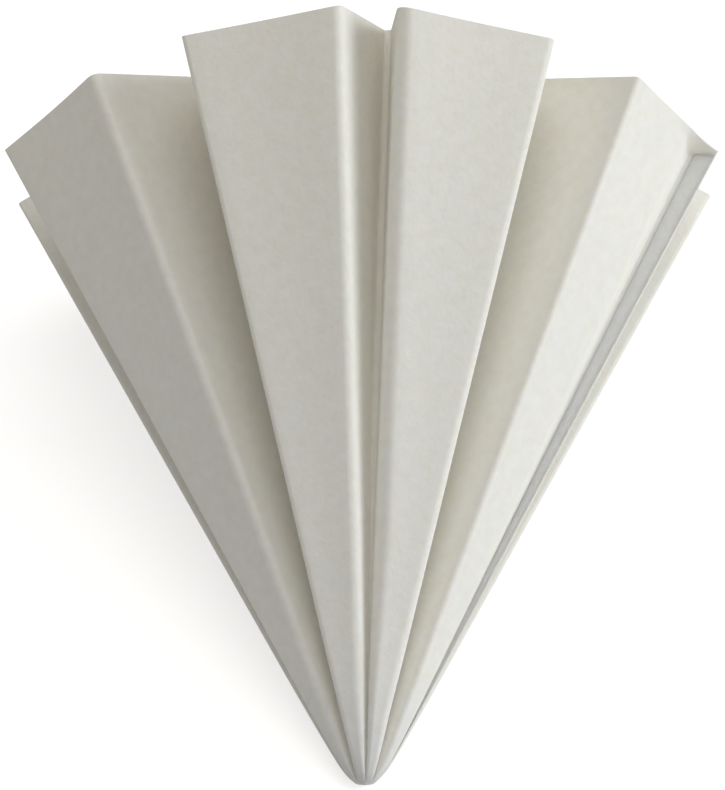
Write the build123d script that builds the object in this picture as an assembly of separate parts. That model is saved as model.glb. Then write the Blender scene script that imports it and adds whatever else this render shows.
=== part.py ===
from build123d import *
from math import acos, atan, cos, degrees, pi, radians, sin, sqrt, tan
import os

# A round filter paper, fluted for a funnel and lying on its side.
# The disc is creased along radii into repeating sets of three panels: one flat panel that
# faces outwards, then two walls that run in to a valley and back out to the next flat panel.
# The folded cone is a little flattened, as limp paper is, and rests on one of its flat panels.

# Driving dimensions, in millimetres and degrees
sheet_diameter = 185.0  # the disc before it is folded
paper_thickness = 0.3
flute_count = 9  # an odd count puts a groove on top and a flat panel underneath
panel_sector = 11.7  # angle that each flat panel takes up at the centre of the disc
half_width_angle = 27.8  # from the axis of the cone to the ridges at its two sides
half_depth_angle = 21.4  # from the axis to the ridges on top and underneath
top_mouth = 8.0  # opening of the groove on top; the four openings are shares of the room
upper_mouth = 16.0  # that the flat panels leave: the next groove on each side
side_mouth = 25.0  # the groove after that, at the side
lower_mouth = 5.0  # each groove below that, down to the bottom panel
ridge_fold_radius = 0.9  # of the middle of the paper, in a ridge at the rim
valley_fold_radius = 0.3  # of the middle of the paper, in a valley at the rim
bunched_fold_radius = 0.2  # of the middle of the paper, in every crease where the layers part
ridge_flats = 4  # narrow flats that make up the bend of a ridge, within 0.02 mm of the arc
valley_flats = 6  # and the bend of a valley, which turns further
tip_setback = 4.3  # from the point where the creases meet to the blunt tip
tip_radius = 2.4  # of the rounded end of the tip
parting_ratio = 2.0  # the layers part where the narrowest groove is this many papers wide

# Derived sizes
half_thickness = paper_thickness / 2
wall_sector = (360 / flute_count - panel_sector) / 2
rim_radius = sheet_diameter / 2 + tip_setback
past_rim = rim_radius * 1.02
lower_groove_count = flute_count // 2 - 2


def crease(azimuth):
    """Direction of a ridge, as a point one unit along the axis; azimuth 0 is on top."""
    across = tan(radians(half_width_angle)) * sin(radians(azimuth))
    down = -tan(radians(half_depth_angle)) * cos(radians(azimuth))
    return Vector(across, down, 1)


def bisect(function, low, high):
    """Argument between low and high at which a rising function reaches zero."""
    for _ in range(50):
        middle = (low + high) / 2
        low, high = (middle, high) if function(middle) < 0 else (low, middle)
    return low


def panel_end(start):
    """Azimuth of the ridge that ends a flat panel that starts at the given azimuth."""
    return bisect(lambda end: crease(start).get_angle(crease(end)) - panel_sector, start, start + 90)


def bottom_half_angle():
    """Half of the bottom panel's width, as an azimuth."""
    return bisect(lambda half: crease(half).get_angle(crease(-half)) - panel_sector, 0, 90)


def half_ridges(opening):
    """Azimuths of the ridges on one side, from the top groove to the bottom panel."""
    ridges = [opening * top_mouth / 2]
    for mouth in [upper_mouth, side_mouth] + [lower_mouth] * lower_groove_count:
        ridges.append(panel_end(ridges[-1]))
        ridges.append(ridges[-1] + opening * mouth)
    return ridges


def ridge_azimuths():
    """Azimuths of all the ridges, with the grooves opened to fill the room that is left."""
    bottom = 180 - bottom_half_angle()
    opening = bisect(lambda opening: half_ridges(opening)[-1] - bottom, 0, 10)
    side = half_ridges(opening)
    return side + [-azimuth for azimuth in reversed(side)]


def valley(before, after):
    """Direction of the valley whose two walls rise to the ridges before and after it."""
    middle = (before.normalized() + after.normalized()).normalized()
    inward = before.cross(after).normalized()
    half_mouth = radians(before.get_angle(after)) / 2
    depth = acos(cos(radians(wall_sector)) / cos(half_mouth))
    direction = middle * cos(depth) + inward * sin(depth)
    return direction / direction.Z


def crease_directions():
    """All the creases in turn, two ridges and then a valley, with True for each ridge."""
    ridges = [crease(azimuth) for azimuth in ridge_azimuths()]
    ordered = []
    for index in range(0, len(ridges), 2):
        start, end = ridges[index], ridges[index + 1]
        following = ridges[(index + 2) % len(ridges)]
        ordered += [(start, True), (end, True), (valley(end, following), False)]
    return ordered


def parting_height(creases):
    """Height at which the layers part: below it the narrowest groove is pressed shut."""
    ridges = [direction for direction, ridge in creases if ridge]
    narrowest = min((ridges[index] - ridges[index - 1]).length for index in range(0, len(ridges), 2))
    return parting_ratio * paper_thickness / narrowest


def outline(creases, height, offset):
    """Corners of the paper's face at a height: the middle of the paper, set off outwards."""
    corners = []
    for index, (here, _) in enumerate(creases):
        before = creases[index - 1][0]
        after = creases[(index + 1) % len(creases)][0]
        n1 = here.cross(before).normalized()
        n2 = after.cross(here).normalized()
        d1 = offset - n1.Z * height
        d2 = offset - n2.Z * height
        spread = n1.X * n2.Y - n2.X * n1.Y
        corners.append(Vector((d1 * n2.Y - d2 * n1.Y) / spread, (n1.X * d2 - n2.X * d1) / spread, height))
    return corners


def bend_points(corner, back, onward, radius, flats):
    """Points along the arc that rounds a corner, from one straight panel to the next."""
    half_angle = radians(back.get_angle(onward)) / 2
    turn = pi - 2 * half_angle
    centre = corner + (back + onward).normalized() * (radius / sin(half_angle))
    start = corner + back * (radius / tan(half_angle)) - centre
    end = corner + onward * (radius / tan(half_angle)) - centre
    points = []
    for step in range(flats + 1):
        angle = turn * step / flats
        points.append(centre + (start * sin(turn - angle) + end * sin(angle)) / sin(turn))
    return points


def section(creases, height, offset, ridge_bend, valley_bend):
    """Rounded outline of one face of the paper at a height, as one list of points a crease."""
    corners = outline(creases, height, offset)
    bends = []
    for index, corner in enumerate(corners):
        ridge = creases[index][1]
        radius = ridge_bend + offset if ridge else valley_bend - offset
        flats = ridge_flats if ridge else valley_flats
        back = (corners[index - 1] - corner).normalized()
        onward = (corners[(index + 1) % len(corners)] - corner).normalized()
        bends.append(bend_points(corner, back, onward, radius, flats))
    return bends


def flat_face(*points):
    """Flat face with straight edges from point to point."""
    return Face(Wire(Polyline(*points, close=True).edges()))


def solid_between(low, high):
    """Solid between two sections: a flat face for each panel, two triangles for each flat of a bend."""
    faces = [flat_face(*sum(low, [])), flat_face(*sum(high, []))]
    for index in range(len(low)):
        following = (index + 1) % len(low)
        faces.append(flat_face(low[index][-1], low[following][0], high[following][0], high[index][-1]))
        for step in range(len(low[index]) - 1):
            a, b = low[index][step : step + 2]
            c, d = high[index][step : step + 2]
            faces += [flat_face(a, b, d), flat_face(a, d, c)]
    return Solid(Shell(faces))


def folded_volume(creases, offset):
    """Solid inside one face of the paper, from the bunched tip to just past the rim."""
    height = parting_height(creases)
    low = section(creases, height, offset, bunched_fold_radius, bunched_fold_radius)
    high = section(creases, past_rim, offset, ridge_fold_radius, valley_fold_radius)
    return solid_between(low, high)


def bunched_tip(creases):
    """The closed end, where the same outline shrinks towards the creases' meeting point."""
    height = parting_height(creases)
    high = section(creases, height, half_thickness, bunched_fold_radius, bunched_fold_radius)
    shrink = tip_setback / height / 2
    low = [[point * shrink for point in bend] for bend in high]
    return solid_between(low, high)


def envelope():
    """Body that the sheet is trimmed to: a rounded nose, and a rim at an equal reach."""
    nose_height = tip_setback + tip_radius
    ledge = tip_radius * sqrt(0.5)
    nose = Pos(0, 0, nose_height) * Sphere(tip_radius)
    flare = Cone(ledge, ledge + rim_radius, rim_radius, align=(Align.CENTER, Align.CENTER, Align.MIN))
    return (nose + Pos(0, 0, nose_height - ledge) * flare) & Sphere(rim_radius)


def fluted_sheet():
    """The folded paper, standing on its tip with its axis along Z and its top towards -Y."""
    creases = crease_directions()
    outside = folded_volume(creases, half_thickness) + bunched_tip(creases)
    return (outside - folded_volume(creases, -half_thickness)) & envelope()


def lay_down(standing):
    """Turn the cone onto its bottom panel, tip towards -Y, with the floor at Z = 0."""
    bottom_ridge = crease(180 - bottom_half_angle())
    lean = degrees(atan(bottom_ridge.Y))
    lying = Rot(X=lean - 90) * standing
    box = lying.bounding_box()
    return Pos(-box.center().X, -box.center().Y, -box.min.Z) * lying


os.makedirs("parts", exist_ok=True)
sheet = lay_down(fluted_sheet())
sheet.label = "fluted_sheet"
export_step(sheet, "parts/fluted_sheet.step")
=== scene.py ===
# %% [markdown]
# # A fluted filter paper
#
# A round sheet of thick filter paper is creased along its radii and gathered into a cone.
# It lies on its side on a pale surface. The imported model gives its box, and everything
# here is in metres in that model's frame: the tip is towards -Y and the mouth towards +Y.

# %% Load the frame
import bpy
import math
from mathutils import Matrix, Vector


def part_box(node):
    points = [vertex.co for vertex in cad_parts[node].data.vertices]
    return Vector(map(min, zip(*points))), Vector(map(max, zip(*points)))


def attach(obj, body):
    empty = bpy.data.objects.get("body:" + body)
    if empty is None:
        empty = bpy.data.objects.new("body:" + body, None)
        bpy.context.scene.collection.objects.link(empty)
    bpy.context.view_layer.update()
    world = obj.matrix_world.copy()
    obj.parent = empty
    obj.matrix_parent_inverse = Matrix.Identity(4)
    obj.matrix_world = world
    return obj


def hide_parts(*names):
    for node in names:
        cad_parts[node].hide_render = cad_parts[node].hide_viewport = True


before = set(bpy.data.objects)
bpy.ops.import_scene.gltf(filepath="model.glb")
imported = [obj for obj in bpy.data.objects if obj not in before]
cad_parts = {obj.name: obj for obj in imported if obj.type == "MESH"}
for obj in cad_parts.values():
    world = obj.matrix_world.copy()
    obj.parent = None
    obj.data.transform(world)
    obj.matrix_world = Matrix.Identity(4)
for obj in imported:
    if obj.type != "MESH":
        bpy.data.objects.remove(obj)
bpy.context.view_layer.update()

sheet_low, sheet_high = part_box("fluted_sheet")
print("The folded sheet's box runs from", sheet_low, "to", sheet_high)

# %% [markdown]
# ## Camera
#
# A long lens from well back keeps the creases straight and nearly free of perspective.
# The camera looks down on the tip at about 46 degrees. It could be placed by eye, but
# a direction, a distance and a point to look at are easier to adjust one at a time.

# %% Place the camera
view_elevation = math.radians(46.09)
view_azimuth = math.radians(-1.75)  # a little to the left of the axis
camera_distance = 0.74
look_at = Vector((-0.0001, -0.0024, 0.0238))
camera_roll = math.radians(1.42)

towards_camera = Vector((
    math.sin(view_azimuth) * math.cos(view_elevation),
    -math.cos(view_azimuth) * math.cos(view_elevation),
    math.sin(view_elevation),
))
camera = bpy.data.objects.new("camera", bpy.data.cameras.new("camera"))
bpy.context.scene.collection.objects.link(camera)
camera.location = look_at + towards_camera * camera_distance
level = (-towards_camera).to_track_quat("-Z", "Y").to_matrix()
turned = level @ Matrix.Rotation(camera_roll, 3, "Z")
camera.rotation_euler = turned.to_euler()
camera.data.lens = 274.3  # millimetres
camera.data.sensor_width = 36.0
camera.data.clip_end = 20.0
bpy.context.scene.camera = camera
print("The camera stands at", tuple(round(c, 4) for c in camera.location))

# %% [markdown]
# ## The ridges
#
# Nine flat panels face outwards, and between each two of them the paper runs in along one
# wall to a valley and back out along another. A folded cone is all straight lines through
# one point, so a crease is only a direction, and the folded sheet is a path from direction
# to direction. The cone is a little flattened, so the ridges lie on an ellipse. They could
# be spaced evenly, but hand-folded paper opens wider at its sides than underneath.

# %% The directions of the ridges
half_width_angle = math.radians(28.1)  # from the cone's axis to the ridges at the sides
half_depth_angle = math.radians(21.4)  # and to the ridges on top and underneath

# Azimuths of the ridges down each side, in degrees from the top. They come in pairs that
# start and end a flat panel.
left_ridges = [3.8, 27.9, 45.4, 79.4, 107.6, 137.0, 140.6, 164.6]
right_ridges = [4.6, 28.9, 45.9, 78.2, 101.0, 131.4, 136.6, 162.6]
bottom_edge = 168.0  # azimuth of the ridges on each side of the bottom panel


def ridge_direction(azimuth):
    """Unit direction of a ridge from the point where all the creases meet."""
    turn = math.radians(azimuth)
    across = math.tan(half_width_angle) * math.sin(turn)
    outwards = -math.tan(half_depth_angle) * math.cos(turn)
    return Vector((across, outwards, 1.0)).normalized()


going_down = right_ridges + [bottom_edge]
coming_up = [-azimuth for azimuth in [bottom_edge] + left_ridges[::-1]]
ridges = [ridge_direction(azimuth) for azimuth in going_down + coming_up]
print(len(ridges), "ridges make", len(ridges) // 2, "flat panels")

# %% [markdown]
# ## The valleys
#
# The disc has 360 degrees of paper. What the flat panels leave is shared out among the
# walls, and the two walls of a groove decide where its valley lies: the point that is one
# wall away from each of its two ridges, on the inner side. The valleys could be placed
# freely, but then the paper would stretch. The groove on top is shallower than the others.

# %% The directions of the valleys
top_walls = (9.9, 9.1)  # degrees of paper in the top groove's left and right walls


def valley_direction(before, after, first_wall, second_wall):
    """Unit direction that lies one wall away from each of two ridges, towards the axis."""
    cosine = before.dot(after)
    first = math.cos(math.radians(first_wall))
    second = math.cos(math.radians(second_wall))
    a = (first - cosine * second) / (1 - cosine * cosine)
    b = (second - cosine * first) / (1 - cosine * cosine)
    base = before * a + after * b
    inward = before.cross(after).normalized()
    return base + inward * math.sqrt(1 - base.length_squared)


panel_paper = sum(
    math.degrees(ridges[i].angle(ridges[i + 1])) for i in range(0, len(ridges), 2)
)
wall_paper = (360 - panel_paper - sum(top_walls)) / (len(ridges) - 2)
creases = []  # the direction of each crease, and whether it is a ridge
for index in range(0, len(ridges), 2):
    start, end = ridges[index], ridges[index + 1]
    following = ridges[(index + 2) % len(ridges)]
    walls = top_walls if index == len(ridges) - 2 else (wall_paper, wall_paper)
    valley = valley_direction(end, following, *walls)
    creases += [(start, True), (end, True), (valley, False)]
print("Each wall takes", round(wall_paper, 2), "degrees of paper")

# %% [markdown]
# ## The flat disc
#
# Before it is folded the paper is a disc, so the mesh starts as one: a circle, extruded
# inwards ring by ring. A grid of rings and spokes bends cleanly along the radii, which a
# triangulated disc would not. The spokes are shared out evenly among the panels and walls.

# %% Draw the disc as rings and spokes
sheet_radius = 0.0925
spokes_in_a_panel = 18
spoke_count = spokes_in_a_panel * len(creases)
ring_count = 86
smallest_ring = 0.0004
rim_rings = 6  # evenly spaced, for a crisp rim
rim_ring_gap = 0.0004
even_share = 0.55  # of the other rings' spacing; the rest crowds them towards the centre


def ring_radius(ring):
    """Radius of a ring, counted inwards from ring 0 at the rim."""
    if ring < rim_rings:
        return sheet_radius - ring * rim_ring_gap
    inner_rim = sheet_radius - rim_rings * rim_ring_gap
    share = 1 - (ring - rim_rings) / (ring_count - 1 - rim_rings)
    spread = even_share * share + (1 - even_share) * share ** 3
    return smallest_ring + (inner_rim - smallest_ring) * spread


bpy.ops.object.select_all(action="DESELECT")
bpy.ops.mesh.primitive_circle_add(
    vertices=spoke_count, radius=sheet_radius, fill_type="NOTHING"
)
sheet = bpy.context.object
sheet.name = "filter_paper"
sheet.data.name = "filter_paper"
bpy.ops.object.mode_set(mode="EDIT")
bpy.ops.mesh.select_all(action="SELECT")
for ring in range(1, ring_count):
    bpy.ops.mesh.extrude_region_move()
    shrink = ring_radius(ring) / ring_radius(ring - 1)
    bpy.ops.transform.resize(value=(shrink, shrink, 1.0))
bpy.ops.mesh.extrude_region_move()
bpy.ops.mesh.merge(type="CENTER")
bpy.ops.object.mode_set(mode="OBJECT")
print("The disc has", len(sheet.data.vertices), "vertices")

# %% [markdown]
# ## The bend at a crease
#
# Real paper doesn't fold to a knife edge: it bends over about its own thickness or more,
# and that width stays the same from tip to rim. So each crease is an arc of one radius.
# Some creases were pressed more or less sharply than the rest and have a radius of their
# own. A Bevel modifier could round them, but it would run into itself near the tip, where
# the panels are narrow. Here a bend never takes up more than a set share of a panel.

# %% The radii of the creases
setback = 0.0043  # from the point where the creases meet to the blunt tip
ridge_bend = 0.0005
valley_bend = 0.0003

# Some creases, by their place in the list. It starts at the ridge to the right of the top
# groove and goes on down the right side.
top_right, next_right, lip_ridge = 0, 1, 4
outer_left, next_left, top_left, top_valley = 22, 24, 25, 26
own_bends = {
    top_right: 0.0016,
    next_right: 0.0009,
    lip_ridge: 0.0002,
    outer_left: 0.0009,
    top_left: 0.0012,
    top_valley: 0.0006,
}
largest_bend_share = 0.36  # of the narrower panel beside it
print("Bends are", ridge_bend, "in radius at ridges and", valley_bend, "in valleys")
print(len(own_bends), "creases have a radius of their own")

# %% [markdown]
# ## Round a bend
#
# In a bend the paper turns from one panel's direction to the next one's along an arc that
# touches both. The arc's length follows from its radius and from how far the paper turns,
# so each crease is measured first, and its arc is then walked from one side to the other.
# The points could be set by hand, but every one of the 27 creases turns differently.

# %% Walk round a bend

def neighbours(index):
    """Directions of the creases before and after one."""
    return creases[index - 1][0], creases[(index + 1) % len(creases)][0]


def bend_sides(index):
    """Unit directions into the paper before and after a crease, and half of its turn."""
    here = creases[index][0]
    back, onward = neighbours(index)
    before = (back - here * here.dot(back)).normalized()
    after = (onward - here * here.dot(onward)).normalized()
    return before, after, (math.pi - before.angle(after)) / 2


def bend_length(index, reach):
    """Angle from a crease to its bend's end, at a distance from the meeting point."""
    here, ridge = creases[index]
    half_turn = bend_sides(index)[2]
    radius = own_bends.get(index, ridge_bend if ridge else valley_bend)
    room = largest_bend_share * min(here.angle(side) for side in neighbours(index))
    return min(radius * math.tan(half_turn) / reach, room)


def along_arc(start, end, angle, share):
    """Point a share of the way along an arc that turns through a known angle."""
    from_start = math.sin(angle * (1 - share))
    from_end = math.sin(angle * share)
    return (start * from_start + end * from_end) / math.sin(angle)


def bend_point(index, reach, share):
    """Direction in a crease's bend: share runs from -1, where it starts, to 1."""
    before, after, half_turn = bend_sides(index)
    length = bend_length(index, reach)
    radius = length / math.tan(half_turn)
    centre = (before + after).normalized() * (radius / math.cos(half_turn))
    start = before * length - centre
    end = after * length - centre
    arc = along_arc(start, end, 2 * half_turn, (share + 1) / 2)
    return (creases[index][0] + centre + arc).normalized()


top_turn = math.degrees(2 * bend_sides(top_right)[2])
print("The top right ridge turns the paper by", round(top_turn), "degrees")

# %% [markdown]
# ## Spokes on the folded sheet
#
# Each spoke of the disc gets its direction on the cone: a few lie in the bends, and the
# others are spread over the flat paper between them. Modelling each panel on its own
# would leave 27 seams, and a folding formula keeps it one sheet. The outer panel on the
# right has a narrow lip along its far ridge, so its spokes crowd towards that side.

# %% Share the spokes out
half_bend_spokes = 4  # spokes on each side of a crease that lie in its bend
lipped_panel = 3
lip_crowding = 3.2  # 1 would spread that panel's spokes evenly


def folded_direction(spoke, reach):
    """Direction of a spoke on the folded sheet, at a distance from the meeting point."""
    panel, step = divmod(spoke, spokes_in_a_panel)
    following = (panel + 1) % len(creases)
    if step < half_bend_spokes:
        return bend_point(panel, reach, step / half_bend_spokes)
    if step > spokes_in_a_panel - half_bend_spokes:
        share = (step - spokes_in_a_panel) / half_bend_spokes
        return bend_point(following, reach, share)
    start, end = creases[panel][0], creases[following][0]
    whole = start.angle(end)
    first = bend_length(panel, reach) / whole
    last = 1 - bend_length(following, reach) / whole
    flat_steps = spokes_in_a_panel - 2 * half_bend_spokes
    part = (step - half_bend_spokes) / flat_steps
    if panel == lipped_panel:
        part = 1 - (1 - part) ** lip_crowding
    return along_arc(start, end, whole, first + (last - first) * part)


print(spoke_count, "spokes are shared out among", len(creases), "panels and walls")

# %% [markdown]
# ## The lip and the hollow panels
#
# Paper springs back a little between two pressed creases, so the flat panels are slightly
# hollow. The lip is where the paper was pinched a second time beside a ridge: the panel
# dips towards the lip's foot, and the lip rises from there to the ridge. It could be a
# panel of its own with another crease, but it fades out at the dip, so a smooth curve
# across the panel is closer.

# %% Sink the panels
panel_bow = 0.0005  # how far the flat panels are hollow, at the rim
dip_start = 0.62  # where the dip starts, as a share of the panel's width
lip_foot = 0.94  # and where the lip rises from it
lip_curve = 2.0  # 1 would make the lip flat, and more makes it steeper at the ridge
lip_height = 0.0031  # near the rim
lip_end = 0.0015  # the lip dies away over this last stretch before the rim
lip_left = 0.12  # share of its height that it keeps there


def lip_profile(part):
    """Depth across the panel with the lip: 1 at the lip's foot and 0 at its ridge."""
    if part < dip_start:
        return 0.0
    if part < lip_foot:
        along = (part - dip_start) / (lip_foot - dip_start)
        return along * along * (3 - 2 * along)
    return 1 - ((part - lip_foot) / (1 - lip_foot)) ** lip_curve


def sink(panel, direction, reach):
    """How far a flat panel lies below the plane through its two ridges."""
    start, end = creases[panel][0], creases[panel + 1][0]
    part = min(1.0, start.angle(direction) / start.angle(end))
    depth = panel_bow * math.sin(math.pi * part)
    if panel == lipped_panel:
        from_rim = (sheet_radius + setback - reach) / lip_end
        depth += lip_height * lip_profile(part) * min(1.0, max(lip_left, from_rim))
    return depth * reach / (sheet_radius + setback)


print("The flat panels are hollow by", panel_bow, "and the lip is", lip_height, "high")

# %% [markdown]
# ## The rim
#
# An evenly folded disc would give each panel an arc for its rim. In the real paper the
# rim of a panel is almost a straight line from corner to corner, and the corners beside
# the top groove reach a little further than the rest. The rim could be cut afterwards,
# but it is cleaner to work out how far each spoke reaches.

# %% How far the rim reaches
proud_corners = {  # how much further these creases reach
    top_right: 0.0013,
    next_right: 0.0004,
    next_left: 0.0004,
    top_left: 0.0013,
    top_valley: 0.0003,
}


def corner_reach(index):
    """Distance from the meeting point to a crease's corner of the rim."""
    return sheet_radius + setback + proud_corners.get(index, 0.0)


def rim_reach(panel, direction):
    """Distance of the rim along a direction, on the straight line between two corners."""
    following = (panel + 1) % len(creases)
    start, end = creases[panel][0], creases[following][0]
    here, there = corner_reach(panel), corner_reach(following)
    whole = start.angle(end)
    part = min(start.angle(direction), whole)
    return here * there * math.sin(whole) / (
        here * math.sin(part) + there * math.sin(whole - part)
    )


for name, index in (("top right", top_right), ("lip", lip_ridge)):
    print("The", name, "ridge reaches", round(corner_reach(index), 4))

# %% [markdown]
# ## One point of the sheet
#
# Now a point of the flat disc can be followed to its place: its spoke gives a direction,
# its radius gives a distance, and a flat panel sinks a little below its ridges. Cloth
# simulation could fold the sheet instead, but pressed paper keeps straight, exact folds.

# %% Fold one point
def folded_place(spoke, radius):
    """Place on the folded sheet of the point at a radius along a spoke of the flat one."""
    panel = spoke // spokes_in_a_panel
    direction = folded_direction(spoke, radius + setback)
    stretch = (rim_reach(panel, direction) - setback) / sheet_radius
    # The middle of the disc lies flat across the tip, and the rim at an equal reach.
    slant = (1 / direction.z - 1) * (1 - radius / sheet_radius)
    reach = radius * stretch + setback * (1 + slant)
    if creases[panel][1] and creases[(panel + 1) % len(creases)][1]:  # a flat panel
        start, end = creases[panel][0], creases[panel + 1][0]
        inward = start.cross(end).normalized()
        return direction * reach + inward * sink(panel, direction, reach)
    return direction * reach


rim_corner = folded_place(spokes_in_a_panel * next_right, sheet_radius)
print("A corner of the rim stands", round(rim_corner.z, 4), "above the meeting point")

# %% [markdown]
# ## The tip
#
# At the tip the folds are bunched together and pressed into a blunt, rounded end. The
# folded cone would run to a needle there. A separate cap could close it, but the folds
# still show on the real one, so the points near the tip are drawn in to a rounded nose.

# %% Round off the tip
nose_radius = 0.0024
nose_centre = setback + nose_radius
nose_blend = 6  # a power: a higher one follows the nose more closely


def nose_width(height):
    """Largest distance from the axis at a height: a ball, then a 45 degree flare."""
    ledge = nose_radius * math.sqrt(0.5)
    if height < nose_centre - ledge:
        return math.sqrt(max(0.0, nose_radius ** 2 - (nose_centre - height) ** 2))
    return ledge + height - (nose_centre - ledge)


def drawn_in(place):
    """The same place, drawn towards the axis where it is outside the rounded nose."""
    height = max(place.z, setback)
    allowed = nose_width(height)
    if allowed <= 0:
        return Vector((0.0, 0.0, height))
    ratio = math.hypot(place.x, place.y) / allowed
    factor = 1 / (1 + ratio ** nose_blend) ** (1 / nose_blend)
    return Vector((place.x * factor, place.y * factor, place.z))


print("The nose is round to a height of", round(nose_centre, 4))

# %% [markdown]
# ## Lying down
#
# The paper is limp, so it lies on its bottom panel. It could be folded as it lies, but the
# formula is simpler for a cone that stands on its tip, and one turn about X lays it down.
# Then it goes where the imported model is: on the floor, with its tip at the front of the
# box.

# %% Fold the disc and lay it down
paper_thickness = 0.0003
bottom_ridge = ridge_direction(bottom_edge)
lean = math.atan2(bottom_ridge.y, bottom_ridge.z)
lay_down = Matrix.Rotation(lean - math.pi / 2, 3, "X")

places = []
for vertex in sheet.data.vertices:
    radius = math.hypot(vertex.co.x, vertex.co.y)
    turn = math.atan2(-vertex.co.x, vertex.co.y)  # the circle's first vertex is at +Y
    spoke = round(turn / (2 * math.pi) * spoke_count) % spoke_count
    places.append(lay_down @ drawn_in(folded_place(spoke, radius)))
tip_front = min(place.y for place in places)
floor_gap = paper_thickness / 2 - min(place.z for place in places)
shift = Vector((0.0, sheet_low[1] + paper_thickness / 2 - tip_front, floor_gap))
for vertex, place in zip(sheet.data.vertices, places):
    vertex.co = place + shift
print("The folded cone leans back by", round(math.degrees(lean), 2), "degrees")

# %% [markdown]
# ## Thickness
#
# The sheet is a single skin so far. Solidify gives it the thickness of the paper, half on
# each side, which shows as a fine edge all round the rim. An extrusion could do the same,
# but the modifier can also vary it: towards the tip the skin gets thinner, because there
# the layers would otherwise run through each other.

# %% Give the paper its thickness
fading_length = 0.016  # from the tip to where the paper has its full thickness
share_at_tip = 0.15
smooth_angle = math.radians(50)  # sharper edges, such as the rim's, stay crisp

fading = sheet.vertex_groups.new(name="full_thickness")
meeting_point = shift  # the creases met at the origin before the move
for vertex in sheet.data.vertices:
    from_tip = (vertex.co - meeting_point).length - setback
    share = share_at_tip + (1 - share_at_tip) * from_tip / fading_length
    fading.add([vertex.index], min(1.0, share), "REPLACE")
bpy.ops.object.mode_set(mode="EDIT")
bpy.ops.mesh.select_all(action="SELECT")
bpy.ops.mesh.normals_make_consistent(inside=False)
bpy.ops.object.mode_set(mode="OBJECT")
solidify = sheet.modifiers.new("thickness", "SOLIDIFY")
solidify.thickness = paper_thickness
solidify.offset = 0.0
solidify.vertex_group = "full_thickness"
solidify.use_rim = True
bpy.ops.object.modifier_apply(modifier="thickness")
bpy.ops.object.shade_smooth_by_angle(angle=smooth_angle)
print("The paper has", sum(len(p.vertices) - 2 for p in sheet.data.polygons), "triangles")

# %% [markdown]
# ## Paper
#
# Filter paper is soft, matt and a little warm. Close up it is a felt of fibres, so its
# colour is faintly mottled and its surface is finely uneven. A picture of paper could be
# wrapped round it, but noise made in the material has no seams and stays sharp.

# %% The paper material
paper = bpy.data.materials.new("filter_paper")
paper.use_nodes = True
tree = paper.node_tree
shader = tree.nodes["Principled BSDF"]
shader.inputs["Roughness"].default_value = 0.92
shader.inputs["Specular IOR Level"].default_value = 0.2
shader.inputs["Subsurface Weight"].default_value = 0.5
shader.inputs["Subsurface Radius"].default_value = (1.0, 0.85, 0.6)
shader.inputs["Subsurface Scale"].default_value = 0.0005
print("The paper's roughness is", round(shader.inputs["Roughness"].default_value, 2))

# %% [markdown]
# ## Felt
#
# One noise gives the mottle in the colour, and a finer one gives the bump. Both are read
# at the paper's own coordinates, so they stay put when it is looked at from elsewhere. A
# displaced mesh would be truer than a bump, but fibres this fine would need far too many
# faces.

# %% Mottle and bump
position = tree.nodes.new("ShaderNodeTexCoord").outputs["Object"]


def felt(scale, detail):
    """Noise of the given fineness, as the socket that carries its value."""
    texture = tree.nodes.new("ShaderNodeTexNoise")
    texture.inputs["Scale"].default_value = scale
    texture.inputs["Detail"].default_value = detail
    tree.links.new(position, texture.inputs["Vector"])
    return texture.outputs["Fac"]


mottle = tree.nodes.new("ShaderNodeValToRGB")
darker, lighter = mottle.color_ramp.elements
darker.position = 0.3
darker.color = (0.90, 0.88, 0.81, 1)
lighter.position = 0.7
lighter.color = (0.94, 0.925, 0.865, 1)
tree.links.new(felt(scale=700.0, detail=6.0), mottle.inputs["Fac"])
tree.links.new(mottle.outputs["Color"], shader.inputs["Base Color"])
bump = tree.nodes.new("ShaderNodeBump")
bump.inputs["Strength"].default_value = 0.25
bump.inputs["Distance"].default_value = 0.0002
tree.links.new(felt(scale=1500.0, detail=4.0), bump.inputs["Height"])
tree.links.new(bump.outputs["Normal"], shader.inputs["Normal"])
sheet.data.materials.append(paper)
print("The paper material has", len(tree.nodes), "nodes")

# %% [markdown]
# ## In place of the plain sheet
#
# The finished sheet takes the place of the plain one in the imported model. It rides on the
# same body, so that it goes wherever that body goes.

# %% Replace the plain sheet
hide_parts("fluted_sheet")
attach(sheet, "root")
print("The paper rides on the root body")

# %% [markdown]
# ## Floor
#
# The paper lies on a plain white surface that runs out of view all round. A white
# surface under soft light renders as a light grey. More light would make it white but
# bleach the paper too, so the floor adds some light of its own towards the camera only,
# which still leaves the paper's shadow.

# %% The floor
floor_width = 6.0
floor_glow = 0.62

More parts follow.
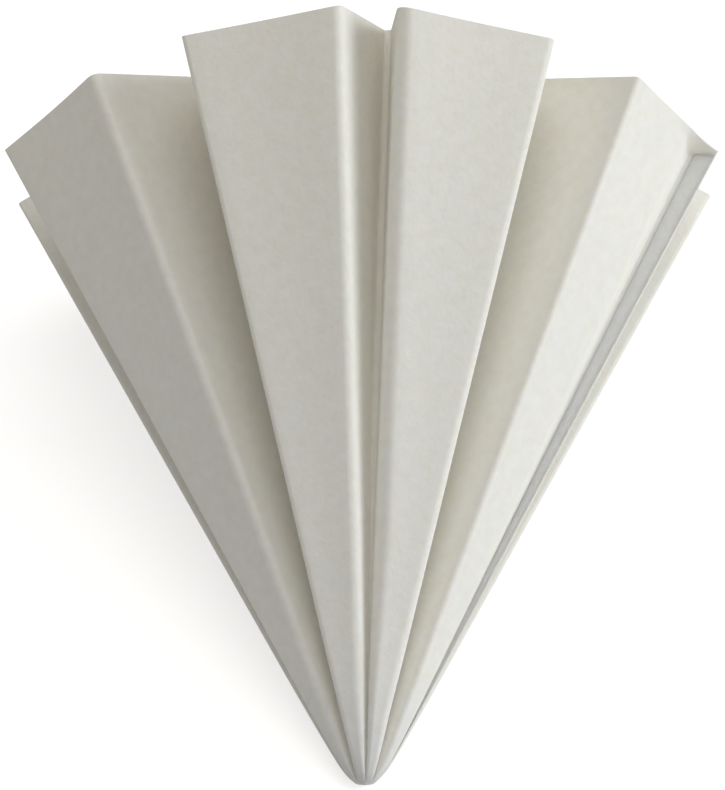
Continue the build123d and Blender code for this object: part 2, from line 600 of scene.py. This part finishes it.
bpy.ops.object.select_all(action="DESELECT")
bpy.ops.mesh.primitive_plane_add(size=floor_width)
floor = bpy.context.object
floor.name = "floor"
white = bpy.data.materials.new("white_floor")
white.use_nodes = True
nodes = white.node_tree.nodes
surface = nodes["Principled BSDF"].inputs
surface["Base Color"].default_value = (0.8, 0.8, 0.8, 1)
surface["Roughness"].default_value = 0.9
surface["Emission Color"].default_value = (1, 1, 1, 1)
light_path = nodes.new("ShaderNodeLightPath")
glow = nodes.new("ShaderNodeMath")
glow.operation = "MULTIPLY"
glow.inputs[1].default_value = floor_glow
white.node_tree.links.new(light_path.outputs["Is Camera Ray"], glow.inputs[0])
white.node_tree.links.new(glow.outputs[0], surface["Emission Strength"])
floor.data.materials.append(white)
print("The floor is", floor_width, "across")

# %% [markdown]
# ## Light
#
# A large soft lamp low on the right makes the panels that face right bright, and each one
# further to the left a shade darker. A weaker one overhead reaches into the grooves, and
# a faint, slightly warm world fills in the shadows. A single lamp would be simpler, but it
# leaves the grooves too dark.

# %% The lamps
lamp_distance = 1.2


def soft_lamp(name, direction, size, power, colour):
    """Square area lamp that faces the paper from a direction."""
    lamp = bpy.data.objects.new(name, bpy.data.lights.new(name, "AREA"))
    bpy.context.scene.collection.objects.link(lamp)
    lamp.location = Vector(direction).normalized() * lamp_distance
    lamp.rotation_euler = (-Vector(direction)).to_track_quat("-Z", "Y").to_euler()
    lamp.data.size = size
    lamp.data.energy = power
    lamp.data.color = colour
    return lamp


key = soft_lamp(
    "key", direction=(0.95, -0.08, 0.36), size=0.9, power=8.5, colour=(0.95, 0.98, 1.0)
)
overhead = soft_lamp(
    "overhead", direction=(0.0, 0.1, 1.0), size=0.8, power=3.6, colour=(1.0, 0.98, 0.95)
)
world = bpy.data.worlds.new("room")
bpy.context.scene.world = world
world.use_nodes = True
world.node_tree.nodes["Background"].inputs["Color"].default_value = (1.0, 0.97, 0.93, 1)
world.node_tree.nodes["Background"].inputs["Strength"].default_value = 0.3
bpy.context.scene.view_settings.view_transform = "Standard"
for lamp in (key, overhead):
    print("The", lamp.name, "lamp stands at", tuple(round(c, 2) for c in lamp.location))
